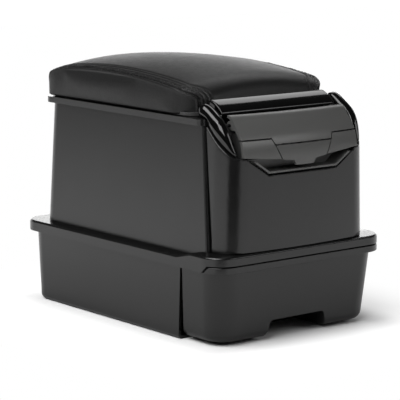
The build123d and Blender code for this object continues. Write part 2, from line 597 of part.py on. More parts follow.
# Front pocket: an open bin behind the flap, with the latch brackets on its front wall
with BuildPart() as front_pocket:
    extrude(side_profile(
        (POCKET_REAR, RIM_TOP - POCKET_LOW_DROP), front(POCKET_FRONT, -POCKET_LOW_DROP),
        front(POCKET_FRONT, -POCKET_LIP_DROP), front(POCKET_MOUTH, -POCKET_TOP_DROP),
        (POCKET_REAR, RIM_TOP - POCKET_TOP_DROP)), amount=POCKET_HALF, both=True)
    extrude(side_profile(
        (POCKET_REAR - POCKET_WALL, RIM_TOP - POCKET_LOW_DROP + POCKET_WALL),
        front(POCKET_FRONT + POCKET_WALL, POCKET_WALL - POCKET_LOW_DROP),
        front(POCKET_FRONT + POCKET_WALL, -POCKET_LIP_DROP), front(POCKET_FRONT, -POCKET_LIP_DROP),
        front(POCKET_FRONT, 0), (POCKET_REAR - POCKET_WALL, RIM_TOP)),
        amount=POCKET_HALF - POCKET_WALL, both=True, mode=Mode.SUBTRACT)
    for side in (-1, 1):
        bracket_x = side * (LATCH_EAR_AT + LATCH_EAR_WIDTH / 2 + RUNNING_GAP + POCKET_WALL / 2)
        extrude(side_profile(
            front(POCKET_FRONT + POCKET_WALL / 2, LATCH_BRACKET_RADIUS - LATCH_DROP),
            front(LATCH_SETBACK, LATCH_BRACKET_RADIUS - LATCH_DROP),
            front(LATCH_SETBACK, -LATCH_BRACKET_RADIUS - LATCH_DROP),
            front(POCKET_FRONT + POCKET_WALL / 2, -2 * LATCH_BRACKET_RADIUS - LATCH_DROP), x=bracket_x),
            amount=POCKET_WALL / 2, both=True)
        with Locations((bracket_x, LATCH_Y, LATCH_Z)):
            Cylinder(LATCH_BRACKET_RADIUS, POCKET_WALL, rotation=(0, 90, 0))
            Cylinder(LATCH_PIN_RADIUS + SCREW_FIT, 2 * POCKET_WALL, rotation=(0, 90, 0),
                     mode=Mode.SUBTRACT)
    screw_holes(POCKET_SCREWS, POCKET_SCREW_LENGTH)
save(front_pocket, "front_pocket")

# Latch paddle: the centre panel with its pull tab, two pivot ears and a hook behind the flap
with BuildPart() as latch_paddle:
    add(front_skin.part)
    paddle_top = FLAP_TOOTH_DROP + PANEL_GAP
    extrude(front_outline(
        (slant(paddle_top), RIM_TOP - paddle_top), (slant(PADDLE_LOW_DROP), RIM_TOP - PADDLE_LOW_DROP),
        (TAB_HALF, RIM_TOP - PADDLE_LOW_DROP - TAB_SHOULDER),
        (TAB_LOW_HALF, RIM_TOP - PADDLE_LOW_DROP - TAB_DROP)),
        amount=FLANGE_LENGTH, mode=Mode.INTERSECT)
    for ear_x in (-LATCH_EAR_AT, 0, LATCH_EAR_AT):
        extrude(side_profile(
            front(LATCH_EAR_ROOT, -paddle_top - LATCH_EAR_DROPS[0]),
            front(LATCH_SETBACK, LATCH_EAR_NECK - LATCH_DROP),
            front(LATCH_SETBACK, -LATCH_EAR_NECK - LATCH_DROP),
            front(LATCH_EAR_ROOT, -paddle_top - LATCH_EAR_DROPS[1]), x=ear_x),
            amount=LATCH_EAR_WIDTH / 2, both=True)
        with Locations((ear_x, LATCH_Y, LATCH_Z)):
            Cylinder(LATCH_EAR_RADIUS, LATCH_EAR_WIDTH, rotation=(0, 90, 0))
    extrude(side_profile(
        front(LATCH_SETBACK - HOOK_HALF, -LATCH_DROP), front(LATCH_SETBACK + HOOK_HALF, -LATCH_DROP),
        front(LATCH_SETBACK + HOOK_HALF, HOOK_RISE - LATCH_DROP),
        front(LATCH_SETBACK - HOOK_HALF, HOOK_RISE - LATCH_DROP)),
        amount=LATCH_EAR_WIDTH / 2, both=True)
    with Locations((0, LATCH_Y, LATCH_Z)):
        Cylinder(LATCH_PIN_RADIUS + PIN_CLEARANCE, 2 * FLAP_HALF, rotation=(0, 90, 0),
                 mode=Mode.SUBTRACT)
save(latch_paddle, "latch_paddle")

# Latch spring: a bent leaf between the pocket wall and the back of the paddle
spring_tip_depth, spring_tip_drop = SPRING_TIP
spring_face = POCKET_FRONT - SPRING_STEEL
with BuildPart() as latch_spring:
    extrude(side_profile(
        front(POCKET_FRONT, -LATCH_DROP - SPRING_SEAT_DROP),
        front(POCKET_FRONT, -LATCH_DROP - SPRING_BEND_DROP),
        front(spring_tip_depth, -LATCH_DROP - spring_tip_drop),
        front(spring_tip_depth, SPRING_STEEL - LATCH_DROP - spring_tip_drop),
        front(spring_face, SPRING_STEEL - LATCH_DROP - SPRING_BEND_DROP),
        front(spring_face, -LATCH_DROP - SPRING_SEAT_DROP)), amount=SPRING_WIDTH / 2, both=True)
save(latch_spring, "latch_spring")

# Pivot pins: the latch pin, the two flap pins and the lid hinge pin
with BuildPart() as latch_pin:
    with Locations((0, LATCH_Y, LATCH_Z)):
        Cylinder(LATCH_PIN_RADIUS, 2 * (LATCH_EAR_AT + LATCH_EAR_WIDTH / 2 + RUNNING_GAP + POCKET_WALL),
                 rotation=(0, 90, 0))
save(latch_pin, "latch_pin")
flap_pin_reach = EAR_WIDTH + RUNNING_GAP + FLAP_CLEARANCE
with BuildPart() as flap_pins:
    for side in (-1, 1):
        pin_mid = OPENING_HALF + (FLAP_PIN_HOLD - flap_pin_reach) / 2
        with Locations((side * pin_mid, PIVOT_Y, PIVOT_Z)):
            Cylinder(FLAP_PIN_RADIUS, FLAP_PIN_HOLD + flap_pin_reach, rotation=(0, 90, 0))
save(flap_pins, "flap_pins")
with BuildPart() as lid_hinge_pins:
    with Locations((-HINGE_AT, HINGE_Y, HINGE_Z), (HINGE_AT, HINGE_Y, HINGE_Z)):
        Cylinder(HINGE_PIN_RADIUS, 3 * KNUCKLE_WIDTH + 2 * KNUCKLE_GAP, rotation=(0, 90, 0))
save(lid_hinge_pins, "lid_hinge_pins")


def lid_plan(z, inset):
    """Lid outline, drawn in all round by an inset."""
    with BuildSketch(Plane.XY.offset(z)) as plan:
        with Locations((0, (LID_FRONT + LID_REAR) / 2)):
            Rectangle(2 * (LID_HALF - inset), LID_REAR - LID_FRONT - 2 * inset)
        fillet(plan.vertices(), LID_CORNER - inset / 2)
    return plan.sketch


# Lid pan: the stiff underside, with a locating rib and the hinge knuckles
with BuildPart() as lid_pan:
    extrude(lid_plan(LID_BOTTOM, LID_PAN_INSET), amount=LID_PAN)
    rib_half = body_half(RIM_TOP) - WALL - PAN_RIB_INSET
    rib_length = body_rear(RIM_TOP) - WALL - BIN_FRONT - 2 * PAN_RIB_INSET
    with BuildSketch(Plane.XY.offset(LID_BOTTOM)):
        with Locations((0, (BIN_FRONT + body_rear(RIM_TOP) - WALL) / 2)):
            RectangleRounded(2 * rib_half, rib_length, BODY_CORNER)
            RectangleRounded(2 * (rib_half - PAN_RIB_WALL), rib_length - 2 * PAN_RIB_WALL,
                             BODY_CORNER - PAN_RIB_WALL, mode=Mode.SUBTRACT)
    extrude(amount=-PAN_RIB)
    for side in (-1, 1):
        extrude(side_profile(
            (LID_REAR - LID_PAN_INSET - KNUCKLE_ROOT, LID_BOTTOM), (HINGE_Y, LID_BOTTOM),
            (HINGE_Y, HINGE_Z + KNUCKLE_RADIUS / 2),
            (LID_REAR - LID_PAN_INSET - KNUCKLE_ROOT, LID_BOTTOM + LID_PAN),
            x=side * HINGE_AT), amount=KNUCKLE_WIDTH / 2, both=True)
        with Locations((side * HINGE_AT, HINGE_Y, HINGE_Z)):
            Cylinder(KNUCKLE_RADIUS, KNUCKLE_WIDTH, rotation=(0, 90, 0))
    with Locations((0, HINGE_Y, HINGE_Z)):
        Cylinder(HINGE_PIN_RADIUS + PIN_CLEARANCE, FLANGE_WIDTH, rotation=(0, 90, 0), mode=Mode.SUBTRACT)
    screw_holes(LID_SCREWS, LID_SCREW_LENGTH)
save(lid_pan, "lid_pan")

# Lid cushion: a padded block, arched along its length and crowned across it
lid_top = LID_BOTTOM + LID_HEIGHT
arch_axis = Axis((0, LID_ARCH_AT, lid_top - LID_ARCH_RADIUS), (1, 0, 0))
arch_angle = degrees(asin((LID_REAR - LID_FRONT) / LID_ARCH_RADIUS))
arch_start = Vector(0, 0, 1).rotate(Axis.X, -arch_angle)
with BuildPart() as lid_cushion:
    loft(sections=[lid_plan(LID_BOTTOM, 0), lid_plan(lid_top, LID_SIDE_LEAN)], ruled=True)
    with BuildSketch(Plane(arch_axis.position, x_dir=(1, 0, 0),
                           z_dir=Vector(1, 0, 0).cross(arch_start))):
        with BuildLine():
            ThreePointArc((-LID_HALF, LID_ARCH_RADIUS - LID_CROWN), (0, LID_ARCH_RADIUS),
                          (LID_HALF, LID_ARCH_RADIUS - LID_CROWN))
            Polyline((LID_HALF, LID_ARCH_RADIUS - LID_CROWN),
                     (LID_HALF, LID_ARCH_RADIUS - 2 * LID_HEIGHT),
                     (-LID_HALF, LID_ARCH_RADIUS - 2 * LID_HEIGHT),
                     (-LID_HALF, LID_ARCH_RADIUS - LID_CROWN))
        make_face()
    revolve(axis=arch_axis, revolution_arc=2 * arch_angle, mode=Mode.INTERSECT)
    top_face = lid_cushion.faces().sort_by(Axis.Z)[-1]
    fillet(top_face.edges(), LID_EDGE)
    extrude(lid_plan(LID_BOTTOM, LID_PAN_INSET - SOFT_GAP), amount=LID_PAN, mode=Mode.SUBTRACT)
    for side in (-1, 1):
        with Locations((side * HINGE_AT, LID_REAR, LID_BOTTOM)):
            Box(KNUCKLE_WIDTH + 2 * SOFT_GAP, 2 * (LID_PAN_INSET + WALL), 2 * (LID_PAN + HINGE_RISE),
                mode=Mode.SUBTRACT)
    screw_holes(LID_SCREWS, LID_SCREW_LENGTH)
save(lid_cushion, "lid_cushion")

# Drawer: a drafted front box with a flange lip and a finger notch, and a tray on two rails
drawer_top = TUB_HEIGHT - RUNNING_GAP
drawer_half = FLANGE_WIDTH / 2 - DRAWER_OVERHANG
drawer_front = FRONT_EDGE + DRAWER_OVERHANG
drawer_rear = FRONT_EDGE + DRAWER_REAR_SETBACK
box_rear = TUB_FRONT - DRAWER_GAP


def drawer_plan(z, inset, rear):
    """Outline of the drawer's front box at one height."""
    draft = DRAWER_DRAFT * (drawer_top - z) / (drawer_top - FLOOR_GAP)
    return front_plan(z, drawer_half - draft - inset, drawer_front + draft + inset, rear,
                      DRAWER_CORNER - inset)


with BuildPart() as drawer_space:
    loft(sections=[
        drawer_plan(z, WALL, box_rear - WALL) for z in (FLOOR_GAP + WALL, drawer_top)], ruled=True)
    extrude(drawer_plan(drawer_top, WALL, box_rear - WALL), amount=2 * LIP_HEIGHT)
    with Locations((0, (box_rear + drawer_rear) / 2 - WALL, FLOOR_GAP + WALL)):
        Box(2 * (DRAWER_TRAY_HALF - WALL), drawer_rear - box_rear + WALL, BODY_HEIGHT,
            align=(Align.CENTER, Align.CENTER, Align.MIN))
    with Locations((0, FRONT_EDGE + DRAWER_REAR_SETBACK / 2, 0)):
        Box(2 * (NOTCH_TOP_HALF + NOTCH_FLARE + WALL), 2 * DRAWER_REAR_SETBACK, 2 * (NOTCH_HEIGHT + WALL),
            mode=Mode.SUBTRACT)
with BuildPart() as drawer_tray:
    loft(sections=[
        drawer_plan(FLOOR_GAP, 0, box_rear + TUB_FRONT_LEAN),
        drawer_plan(drawer_top, 0, box_rear)], ruled=True)
    box_edges = drawer_tray.edges().group_by(Axis.Z)[0].sort_by(Axis.Y)[:-1]
    fillet(box_edges, DRAWER_EDGE)
    with BuildPart(mode=Mode.PRIVATE) as lip:
        with BuildSketch(Plane.XY.offset(drawer_top)):
            RectangleRounded(FLANGE_WIDTH, FLANGE_LENGTH, FLANGE_CORNER)
        extrude(amount=LIP_HEIGHT + RUNNING_GAP)
        extrude(side_profile(
            (FRONT_EDGE, drawer_top), (seam_low - 2 * SEAM_GAP, drawer_top),
            (seam_high - SEAM_GAP, TUB_HEIGHT + LIP_HEIGHT), (FRONT_EDGE, TUB_HEIGHT + LIP_HEIGHT)),
            amount=FLANGE_WIDTH, both=True, mode=Mode.INTERSECT)
    add(lip.part)
    with Locations((0, (box_rear + drawer_rear) / 2, FLOOR_GAP + WALL)):
        Box(2 * DRAWER_TRAY_HALF, drawer_rear - box_rear + WALL, DRAWER_TRAY_TOP - FLOOR_GAP - WALL,
            align=(Align.CENTER, Align.CENTER, Align.MIN))
    add(drawer_space.part, mode=Mode.SUBTRACT)
    with BuildSketch(Plane.XZ) as notch:
        with BuildLine():
            Polyline((-NOTCH_TOP_HALF - NOTCH_FLARE, 0), (-NOTCH_TOP_HALF, NOTCH_HEIGHT),
                     (NOTCH_TOP_HALF, NOTCH_HEIGHT), (NOTCH_TOP_HALF + NOTCH_FLARE, 0), close=True)
        make_face()
        fillet(notch.vertices().group_by(Axis.Y)[-1], NOTCH_ROUND)
    extrude(amount=FLANGE_LENGTH, mode=Mode.SUBTRACT)
    for side in (-1, 1):
        with Locations((side * (DRAWER_TRAY_HALF - WALL / 2), drawer_rear - WALL, RAIL_Z)):
            Box(WALL, RAIL_LENGTH, RUNNER_HEIGHT, align=(Align.CENTER, Align.MIN, Align.CENTER))
        with Locations((side * (DRAWER_TRAY_HALF + RAIL_DEPTH / 2 - WALL / 2), box_rear + WALL, RAIL_Z)):
            Box(RAIL_DEPTH + WALL, drawer_rear - box_rear + RAIL_LENGTH - 2 * WALL, RAIL_HEIGHT,
                align=(Align.CENTER, Align.MIN, Align.CENTER))
save(drawer_tray, "drawer_tray")

# Drawer runners: channels on the tub's side walls that the drawer's rails slide in
for side, name in ((-1, "drawer_runner_left"), (1, "drawer_runner_right")):
    runner_outer = tub_half(RAIL_Z - RUNNER_HEIGHT / 2) - WALL - RUNNING_GAP / 5
    runner_inner = DRAWER_TRAY_HALF + RUNNING_GAP
    runner_front = TUB_FRONT + TUB_FRONT_LEAN + WALL
    with BuildPart() as drawer_runner:
        with Locations((side * (runner_outer + runner_inner) / 2, runner_front, RAIL_Z)):
            Box(runner_outer - runner_inner, RUNNER_LENGTH, RUNNER_HEIGHT,
                align=(Align.CENTER, Align.MIN, Align.CENTER))
        with Locations((side * DRAWER_TRAY_HALF, TUB_FRONT, RAIL_Z)):
            Box(2 * (RAIL_DEPTH + RUNNING_GAP), 2 * FLANGE_LENGTH, RAIL_HEIGHT + 2 * RUNNING_GAP,
                mode=Mode.SUBTRACT)
    save(drawer_runner, name)

# Cup holder insert: two wells that stand on the drawer floor's tunnel, under one plate
cup_floor = NOTCH_HEIGHT + WALL
cup_y = FRONT_EDGE + CUP_SETBACK
with BuildPart() as cup_holder_insert:
    with Locations((0, cup_y, DRAWER_TRAY_TOP)):
        Box(2 * INSERT_HALF, INSERT_LENGTH, CUP_WALL, align=(Align.CENTER, Align.CENTER, Align.MAX))
    with Locations((-CUP_SPACING / 2, cup_y, cup_floor), (CUP_SPACING / 2, cup_y, cup_floor)):
        Cylinder(CUP_RADIUS + CUP_WALL, DRAWER_TRAY_TOP - cup_floor,
                 align=(Align.CENTER, Align.CENTER, Align.MIN))
    well_floor = cup_floor + CUP_WALL
    with Locations((-CUP_SPACING / 2, cup_y, well_floor), (CUP_SPACING / 2, cup_y, well_floor)):
        Cylinder(CUP_RADIUS, BODY_HEIGHT, align=(Align.CENTER, Align.CENTER, Align.MIN),
                 mode=Mode.SUBTRACT)
save(cup_holder_insert, "cup_holder_insert")

# Fasteners
screw_set("housing_screws", HOUSING_SCREWS, HOUSING_SCREW_LENGTH)
screw_set("fascia_screws", FASCIA_SCREWS, FASCIA_SCREW_LENGTH)
screw_set("tub_screws", TUB_SCREWS, TUB_SCREW_LENGTH)
screw_set("pocket_screws", POCKET_SCREWS, POCKET_SCREW_LENGTH)
screw_set("lid_screws", LID_SCREWS, LID_SCREW_LENGTH)
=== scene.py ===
# Car centre armrest: the finishes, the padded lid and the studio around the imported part.
# Metres, in the part's own frame: X across, the front faces -Y, Z up, floor at zero.
import math

import bpy
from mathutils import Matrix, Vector
from mathutils.bvhtree import BVHTree
from mathutils.kdtree import KDTree


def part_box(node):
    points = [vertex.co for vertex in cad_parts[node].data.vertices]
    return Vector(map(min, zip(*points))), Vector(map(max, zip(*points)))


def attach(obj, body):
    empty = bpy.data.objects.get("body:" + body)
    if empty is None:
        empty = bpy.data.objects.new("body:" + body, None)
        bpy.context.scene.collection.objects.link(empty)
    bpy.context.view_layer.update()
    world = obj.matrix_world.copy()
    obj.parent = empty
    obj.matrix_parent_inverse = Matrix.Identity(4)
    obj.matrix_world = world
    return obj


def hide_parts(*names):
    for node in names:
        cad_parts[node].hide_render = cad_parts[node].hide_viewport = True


bl_info = {
    "name": "Car centre armrest",
    "version": (1, 0, 0),
    "blender": (4, 5, 0),
    "location": "View3D > Sidebar > Armrest",
    "description": "Finishes and padded lid of a car centre armrest around its packed solids",
    "category": "Object",
}

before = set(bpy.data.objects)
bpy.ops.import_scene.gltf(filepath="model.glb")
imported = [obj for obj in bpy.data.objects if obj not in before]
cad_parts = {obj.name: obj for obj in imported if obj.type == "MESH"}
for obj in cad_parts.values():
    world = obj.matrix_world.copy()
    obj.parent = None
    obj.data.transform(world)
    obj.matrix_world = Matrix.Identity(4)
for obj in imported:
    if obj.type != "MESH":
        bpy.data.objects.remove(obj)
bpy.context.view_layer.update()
MM = 0.001

# Camera of the photo, in metres, and the lens that gives its view on a 36 mm sensor
CAMERA_PLACE = (-1.13117, -1.41308, 0.40883)
CAMERA_BACK = (-0.61676, -0.76940, 0.16622)
CAMERA_LENS = 176.1
SENSOR = 36.0

# Softboxes: direction from the part, distance and size in metres, and radiance
SOFTBOXES = {
    "strip_softbox": ((0.60, 0.42, 0.66), 3.2, (1.50, 1.10), 2.1),
    "key_softbox": ((-0.50, 0.10, 0.83), 3.0, (1.90, 1.90), 5.0),
    "side_softbox": ((-0.64, -0.36, 0.58), 3.0, (1.70, 1.70), 5.0),
    "fill_softbox": ((0.45, -0.80, 0.50), 4.0, (2.40, 1.20), 2.4),
}
SOFTBOX_AIM = Vector((0, 0, 0.15))

# Floor: size of the paper, half-width and half-length of the part's shadowed footprint, and its near corner
PAPER_SIZE = 6.0
FOOTPRINT = (0.085, 0.135, 0.0)
NEAR_CORNER = (-0.072, -0.125, 0.0)

# Nodes by finish
GRAINED_NODES = ("base_tub", "skirt_deck", "main_housing", "drawer_tray")
SATIN_NODES = ("flap_panel", "trim_panel_left", "trim_panel_right", "latch_paddle", "finger_recess")
INNER_NODES = ("front_pocket", "drawer_runner_left", "drawer_runner_right",
               "cup_holder_insert", "lid_pan")
BLACKED_NODES = ("latch_spring", "latch_pin", "flap_pins")
ZINC_NODES = ("lid_hinge_pins", "housing_screws", "fascia_screws", "tub_screws", "pocket_screws",
              "lid_screws")

# Edges of the CAD nodes: points closer than the weld become one, and the fascia's edges are rounder
WELD = 0.005 * MM
FASCIA_EDGE_FACTOR = 1.7

# Side seam of the left lid edge from the front corner's foot to the rear corner's, in mm,
# and the spacing of the points along it
SEAM_PATH = ((-70.4, -91.2, 198.5), (-70.5, -91.1, 206.0), (-71.2, -90.8, 212.0), (-73.0, -89.6, 216.5),
             (-76.7, -86.8, 219.6), (-80.0, -82.4, 221.4), (-81.8, -76.5, 222.9), (-82.0, -68.0, 224.2),
             (-81.6, -32.0, 227.1), (-81.2, -2.0, 228.6), (-81.2, 29.0, 229.5), (-81.2, 60.0, 229.7),
             (-81.2, 85.0, 228.5), (-81.2, 104.0, 225.9), (-81.0, 116.0, 222.5), (-80.4, 124.0, 217.5),
             (-78.5, 127.8, 210.0), (-78.0, 128.3, 198.5))
SEAM_STEP = 0.8 * MM

# Relief beside the side seam, in mm: distance towards the top panel, height and half-width of each ridge
# or dip, and how far from the seam the cover is refined for it, on the top panel and on the side
SEAM_RELIEF = ((0.0, -1.9, 1.2), (-2.2, 0.8, 1.2), (2.1, 0.3, 1.1), (4.2, -0.6, 0.9), (6.3, 0.3, 1.2),
               (8.4, -0.6, 0.9), (10.5, 0.35, 1.2), (12.6, -0.7, 1.1))
RELIEF_REACH = 17 * MM
SIDE_REACH = 7 * MM

# Stitch rows, in mm from the seam; height of a stitch's points over the leather, in mm; seam steps left bare
STITCH_ROWS = (4.2, 8.4)
STITCH_LIFT = (-0.7, 0.0, 0.1, 0.0, -0.7)
STITCH_MARGIN = 6

# Bezel: mesh size, distances from the middle between which its cheeks begin, softening steps of the cheeks,
# and how far they then swell back up
BEZEL_MESH = 0.9 * MM
CHEEK_START = 68.5 * MM
CHEEK_FULL = 71.5 * MM
CHEEK_SOFTENING = 120
CHEEK_SWELL = 2.0 * MM

# Slack lid: place and radius of its arch, fall towards its sides, length and drop of its rolled ends
LID_APEX = 34 * MM
LID_ARCH_RADIUS = 0.7
SIDE_FALL = 13 * MM
ROLL_LENGTH = 24 * MM
FRONT_ROLL = 13 * MM
REAR_ROLL = 7 * MM

# Block that the lid cover starts from: its top under the solid's, and the radii of its corners and top edge
BLOCK_DROP = 6 * MM
REAR_CORNER = 11 * MM
FRONT_CORNER = 29 * MM
TOP_EDGE = 3 * MM

# Stuffed cover: cloth pressure and frames, width held still at seams and foot, and how far it stands out
# around the lid's solid
PRESSURE = 4.0
CLOTH_FRAMES = 20
HELD_WIDTH = 4 * MM
LID_BULGE = 2.4 * MM

# Hem of the cover round the lid's pan, and the height below which a point is on the underside
HEM_WIDTH = 3.6 * MM
HEM_DEPTH = 3.3 * MM
UNDERSIDE = 6 * MM


def linear(code):
    """An sRGB hex colour as linear red, green and blue."""
    channels = [int(code[i:i + 2], 16) / 255 for i in (1, 3, 5)]
    return [c / 12.92 if c <= 0.04045 else ((c + 0.055) / 1.055) ** 2.4 for c in channels]


def add(tree, kind, inputs=(), **settings):
    """Adds a node with its settings, and sets or links its inputs."""
    made = tree.nodes.new(kind)
    for name, value in settings.items():
        setattr(made, name, value)
    for name, value in dict(inputs).items():
        if isinstance(value, bpy.types.NodeSocket):
            tree.links.new(value, made.inputs[name])
        else:
            made.inputs[name].default_value = value
    return made


def per_metre(size_mm):
    """Texture scale whose pattern repeats about once in a size given in millimetres."""
    return 1 / (size_mm * MM)


def new_material(name):
    """An empty node material with its tree and the object's own coordinates."""
    material = bpy.data.materials.new(name)
    material.use_nodes = True
    tree = material.node_tree
    tree.nodes.clear()
    place = add(tree, "ShaderNodeTexCoord").outputs["Object"]
    return material, tree, place


def finish_material(tree, inputs):
    """Ends a tree with one Principled surface."""
    surface = add(tree, "ShaderNodeBsdfPrincipled", inputs)
    add(tree, "ShaderNodeOutputMaterial", {"Surface": surface.outputs["BSDF"]})


def grained_abs(colour):
    """Moulded ABS with a spark-eroded grain: a soft broken sheen over a flat black."""
    material, tree, place = new_material("grained_abs")
    # the real grain is about 0.4 mm, drawn at 0.9 mm so that it shows in the render
    grain = add(tree, "ShaderNodeTexVoronoi", {"Vector": place, "Scale": per_metre(0.9)})
    fine = add(tree, "ShaderNodeTexNoise", {"Vector": place, "Scale": per_metre(1.6), "Detail": 3.0})
    height = add(tree, "ShaderNodeMath", {0: grain.outputs["Distance"], 1: fine.outputs["Fac"]},
                 operation="ADD")
    bump = add(tree, "ShaderNodeBump", {"Height": height.outputs[0], "Strength": 0.12, "Distance": 0.25 * MM})
    # handling leaves broad faint patches, about 60 mm across
    patches = add(tree, "ShaderNodeTexNoise", {"Vector": place, "Scale": per_metre(60), "Detail": 2.0})
    rough = add(tree, "ShaderNodeMapRange", {"Value": patches.outputs["Fac"], "To Min": 0.20, "To Max": 0.27})
    tone = add(tree, "ShaderNodeMix", {"Factor": fine.outputs["Fac"], "A": [*[c * 0.85 for c in colour], 1],
                                       "B": [*[c * 1.15 for c in colour], 1]}, data_type="RGBA")
    finish_material(tree, {"Base Color": tone.outputs["Result"], "Roughness": rough.outputs["Result"],
                           "Normal": bump.outputs["Normal"], "IOR": 1.52})
    return material


def gloss_abs(colour):
    """Polished gloss ABS: a deep black that mirrors the studio with a slight ripple."""
    material, tree, place = new_material("gloss_abs")
    ripple = add(tree, "ShaderNodeTexNoise", {"Vector": place, "Scale": per_metre(9), "Detail": 1.0})
    bump = add(tree, "ShaderNodeBump", {"Height": ripple.outputs["Fac"], "Strength": 0.05,
                                        "Distance": 0.2 * MM})
    wiped = add(tree, "ShaderNodeTexNoise", {"Vector": place, "Scale": per_metre(25), "Detail": 4.0})
    rough = add(tree, "ShaderNodeMapRange", {"Value": wiped.outputs["Fac"], "To Min": 0.06, "To Max": 0.13})
    finish_material(tree, {"Base Color": [*colour, 1], "Roughness": rough.outputs["Result"],
                           "Normal": bump.outputs["Normal"], "IOR": 1.54})
    return material


def satin_abs(colour):
    """Satin moulded ABS: a smooth grey-black with a wide soft highlight."""
    material, tree, place = new_material("satin_abs")
    fine = add(tree, "ShaderNodeTexNoise", {"Vector": place, "Scale": per_metre(1.2), "Detail": 2.0})
    bump = add(tree, "ShaderNodeBump", {"Height": fine.outputs["Fac"], "Strength": 0.06,
                                        "Distance": 0.2 * MM})
    patches = add(tree, "ShaderNodeTexNoise", {"Vector": place, "Scale": per_metre(40), "Detail": 2.0})
    rough = add(tree, "ShaderNodeMapRange", {"Value": patches.outputs["Fac"], "To Min": 0.28, "To Max": 0.36})
    finish_material(tree, {"Base Color": [*colour, 1], "Roughness": rough.outputs["Result"],
                           "Normal": bump.outputs["Normal"], "IOR": 1.52})
    return material


def inner_polypropylene(colour):
    """Plain moulded polypropylene of the inner parts: waxy, dark and a little uneven."""
    material, tree, place = new_material("inner_polypropylene")
    flow = add(tree, "ShaderNodeTexNoise", {"Vector": place, "Scale": per_metre(18), "Detail": 3.0})
    rough = add(tree, "ShaderNodeMapRange", {"Value": flow.outputs["Fac"], "To Min": 0.40, "To Max": 0.55})
    bump = add(tree, "ShaderNodeBump", {"Height": flow.outputs["Fac"], "Strength": 0.05,
                                        "Distance": 0.3 * MM})
    finish_material(tree, {"Base Color": [*colour, 1], "Roughness": rough.outputs["Result"],
                           "Normal": bump.outputs["Normal"], "IOR": 1.49})
    return material


def plated_steel(name, colour):
    """Plated steel of the screws, pins and spring: metal with a fine uneven polish."""
    material, tree, place = new_material(name)
    lines = add(tree, "ShaderNodeTexNoise", {"Vector": place, "Scale": per_metre(1.5), "Detail": 4.0})
    rough = add(tree, "ShaderNodeMapRange", {"Value": lines.outputs["Fac"], "To Min": 0.25, "To Max": 0.45})
    finish_material(tree, {"Base Color": [*colour, 1], "Metallic": 1.0, "Roughness": rough.outputs["Result"]})
    return material


def coated_leather(colour):
    """Coated black leather: pebbled grain with creases between, and a low sheen at the edges."""
    material, tree, place = new_material("coated_leather")
    # pebbles of about 1.3 mm, drawn at 1.8 mm so that they show in the render
    wander = add(tree, "ShaderNodeTexNoise", {"Vector": place, "Scale": per_metre(6), "Detail": 2.0})
    shifted = add(tree, "ShaderNodeVectorMath", {0: wander.outputs["Color"], "Scale": 1.2 * MM},
                  operation="SCALE")
    spot = add(tree, "ShaderNodeVectorMath", {0: place, 1: shifted.outputs["Vector"]}, operation="ADD")
    pebbles = add(tree, "ShaderNodeTexVoronoi", {"Vector": spot.outputs["Vector"], "Scale": per_metre(1.8)},
                  feature="SMOOTH_F1")
    pores = add(tree, "ShaderNodeTexNoise", {"Vector": place, "Scale": per_metre(0.8), "Detail": 2.0})
    height = add(tree, "ShaderNodeMath", {0: pores.outputs["Fac"], 1: pebbles.outputs["Distance"]},
                 operation="SUBTRACT")
    bump = add(tree, "ShaderNodeBump", {"Height": height.outputs[0], "Strength": 0.22, "Distance": 0.4 * MM})
    rough = add(tree, "ShaderNodeMapRange", {"Value": wander.outputs["Fac"], "To Min": 0.40, "To Max": 0.52})
    # the pebble tops are painted lighter and the creases between them darker, a painted shade
    tone = add(tree, "ShaderNodeMix", {"Factor": pebbles.outputs["Distance"],
                                       "A": [*[c * 1.2 for c in colour], 1],
                                       "B": [*[c * 0.6 for c in colour], 1]}, data_type="RGBA")
    finish_material(tree, {"Base Color": tone.outputs["Result"], "Roughness": rough.outputs["Result"],
                           "Normal": bump.outputs["Normal"], "IOR": 1.47, "Specular IOR Level": 0.4})
    return material


def polyester_thread(colour):
    """Twisted polyester sewing thread: dark and dull, lightly striped with painted shade along its twist."""
    material, tree, place = new_material("polyester_thread")
    # the twist is drawn as light and dark stripes, a painted shade
    twist = add(tree, "ShaderNodeTexWave", {"Vector": place, "Scale": per_metre(5), "Distortion": 1.0})
    tone = add(tree, "ShaderNodeMix", {"Factor": twist.outputs["Fac"], "A": [*[c * 0.6 for c in colour], 1],
                                       "B": [*colour, 1]}, data_type="RGBA")
    finish_material(tree, {"Base Color": tone.outputs["Result"], "Roughness": 0.6, "IOR": 1.5})
    return material


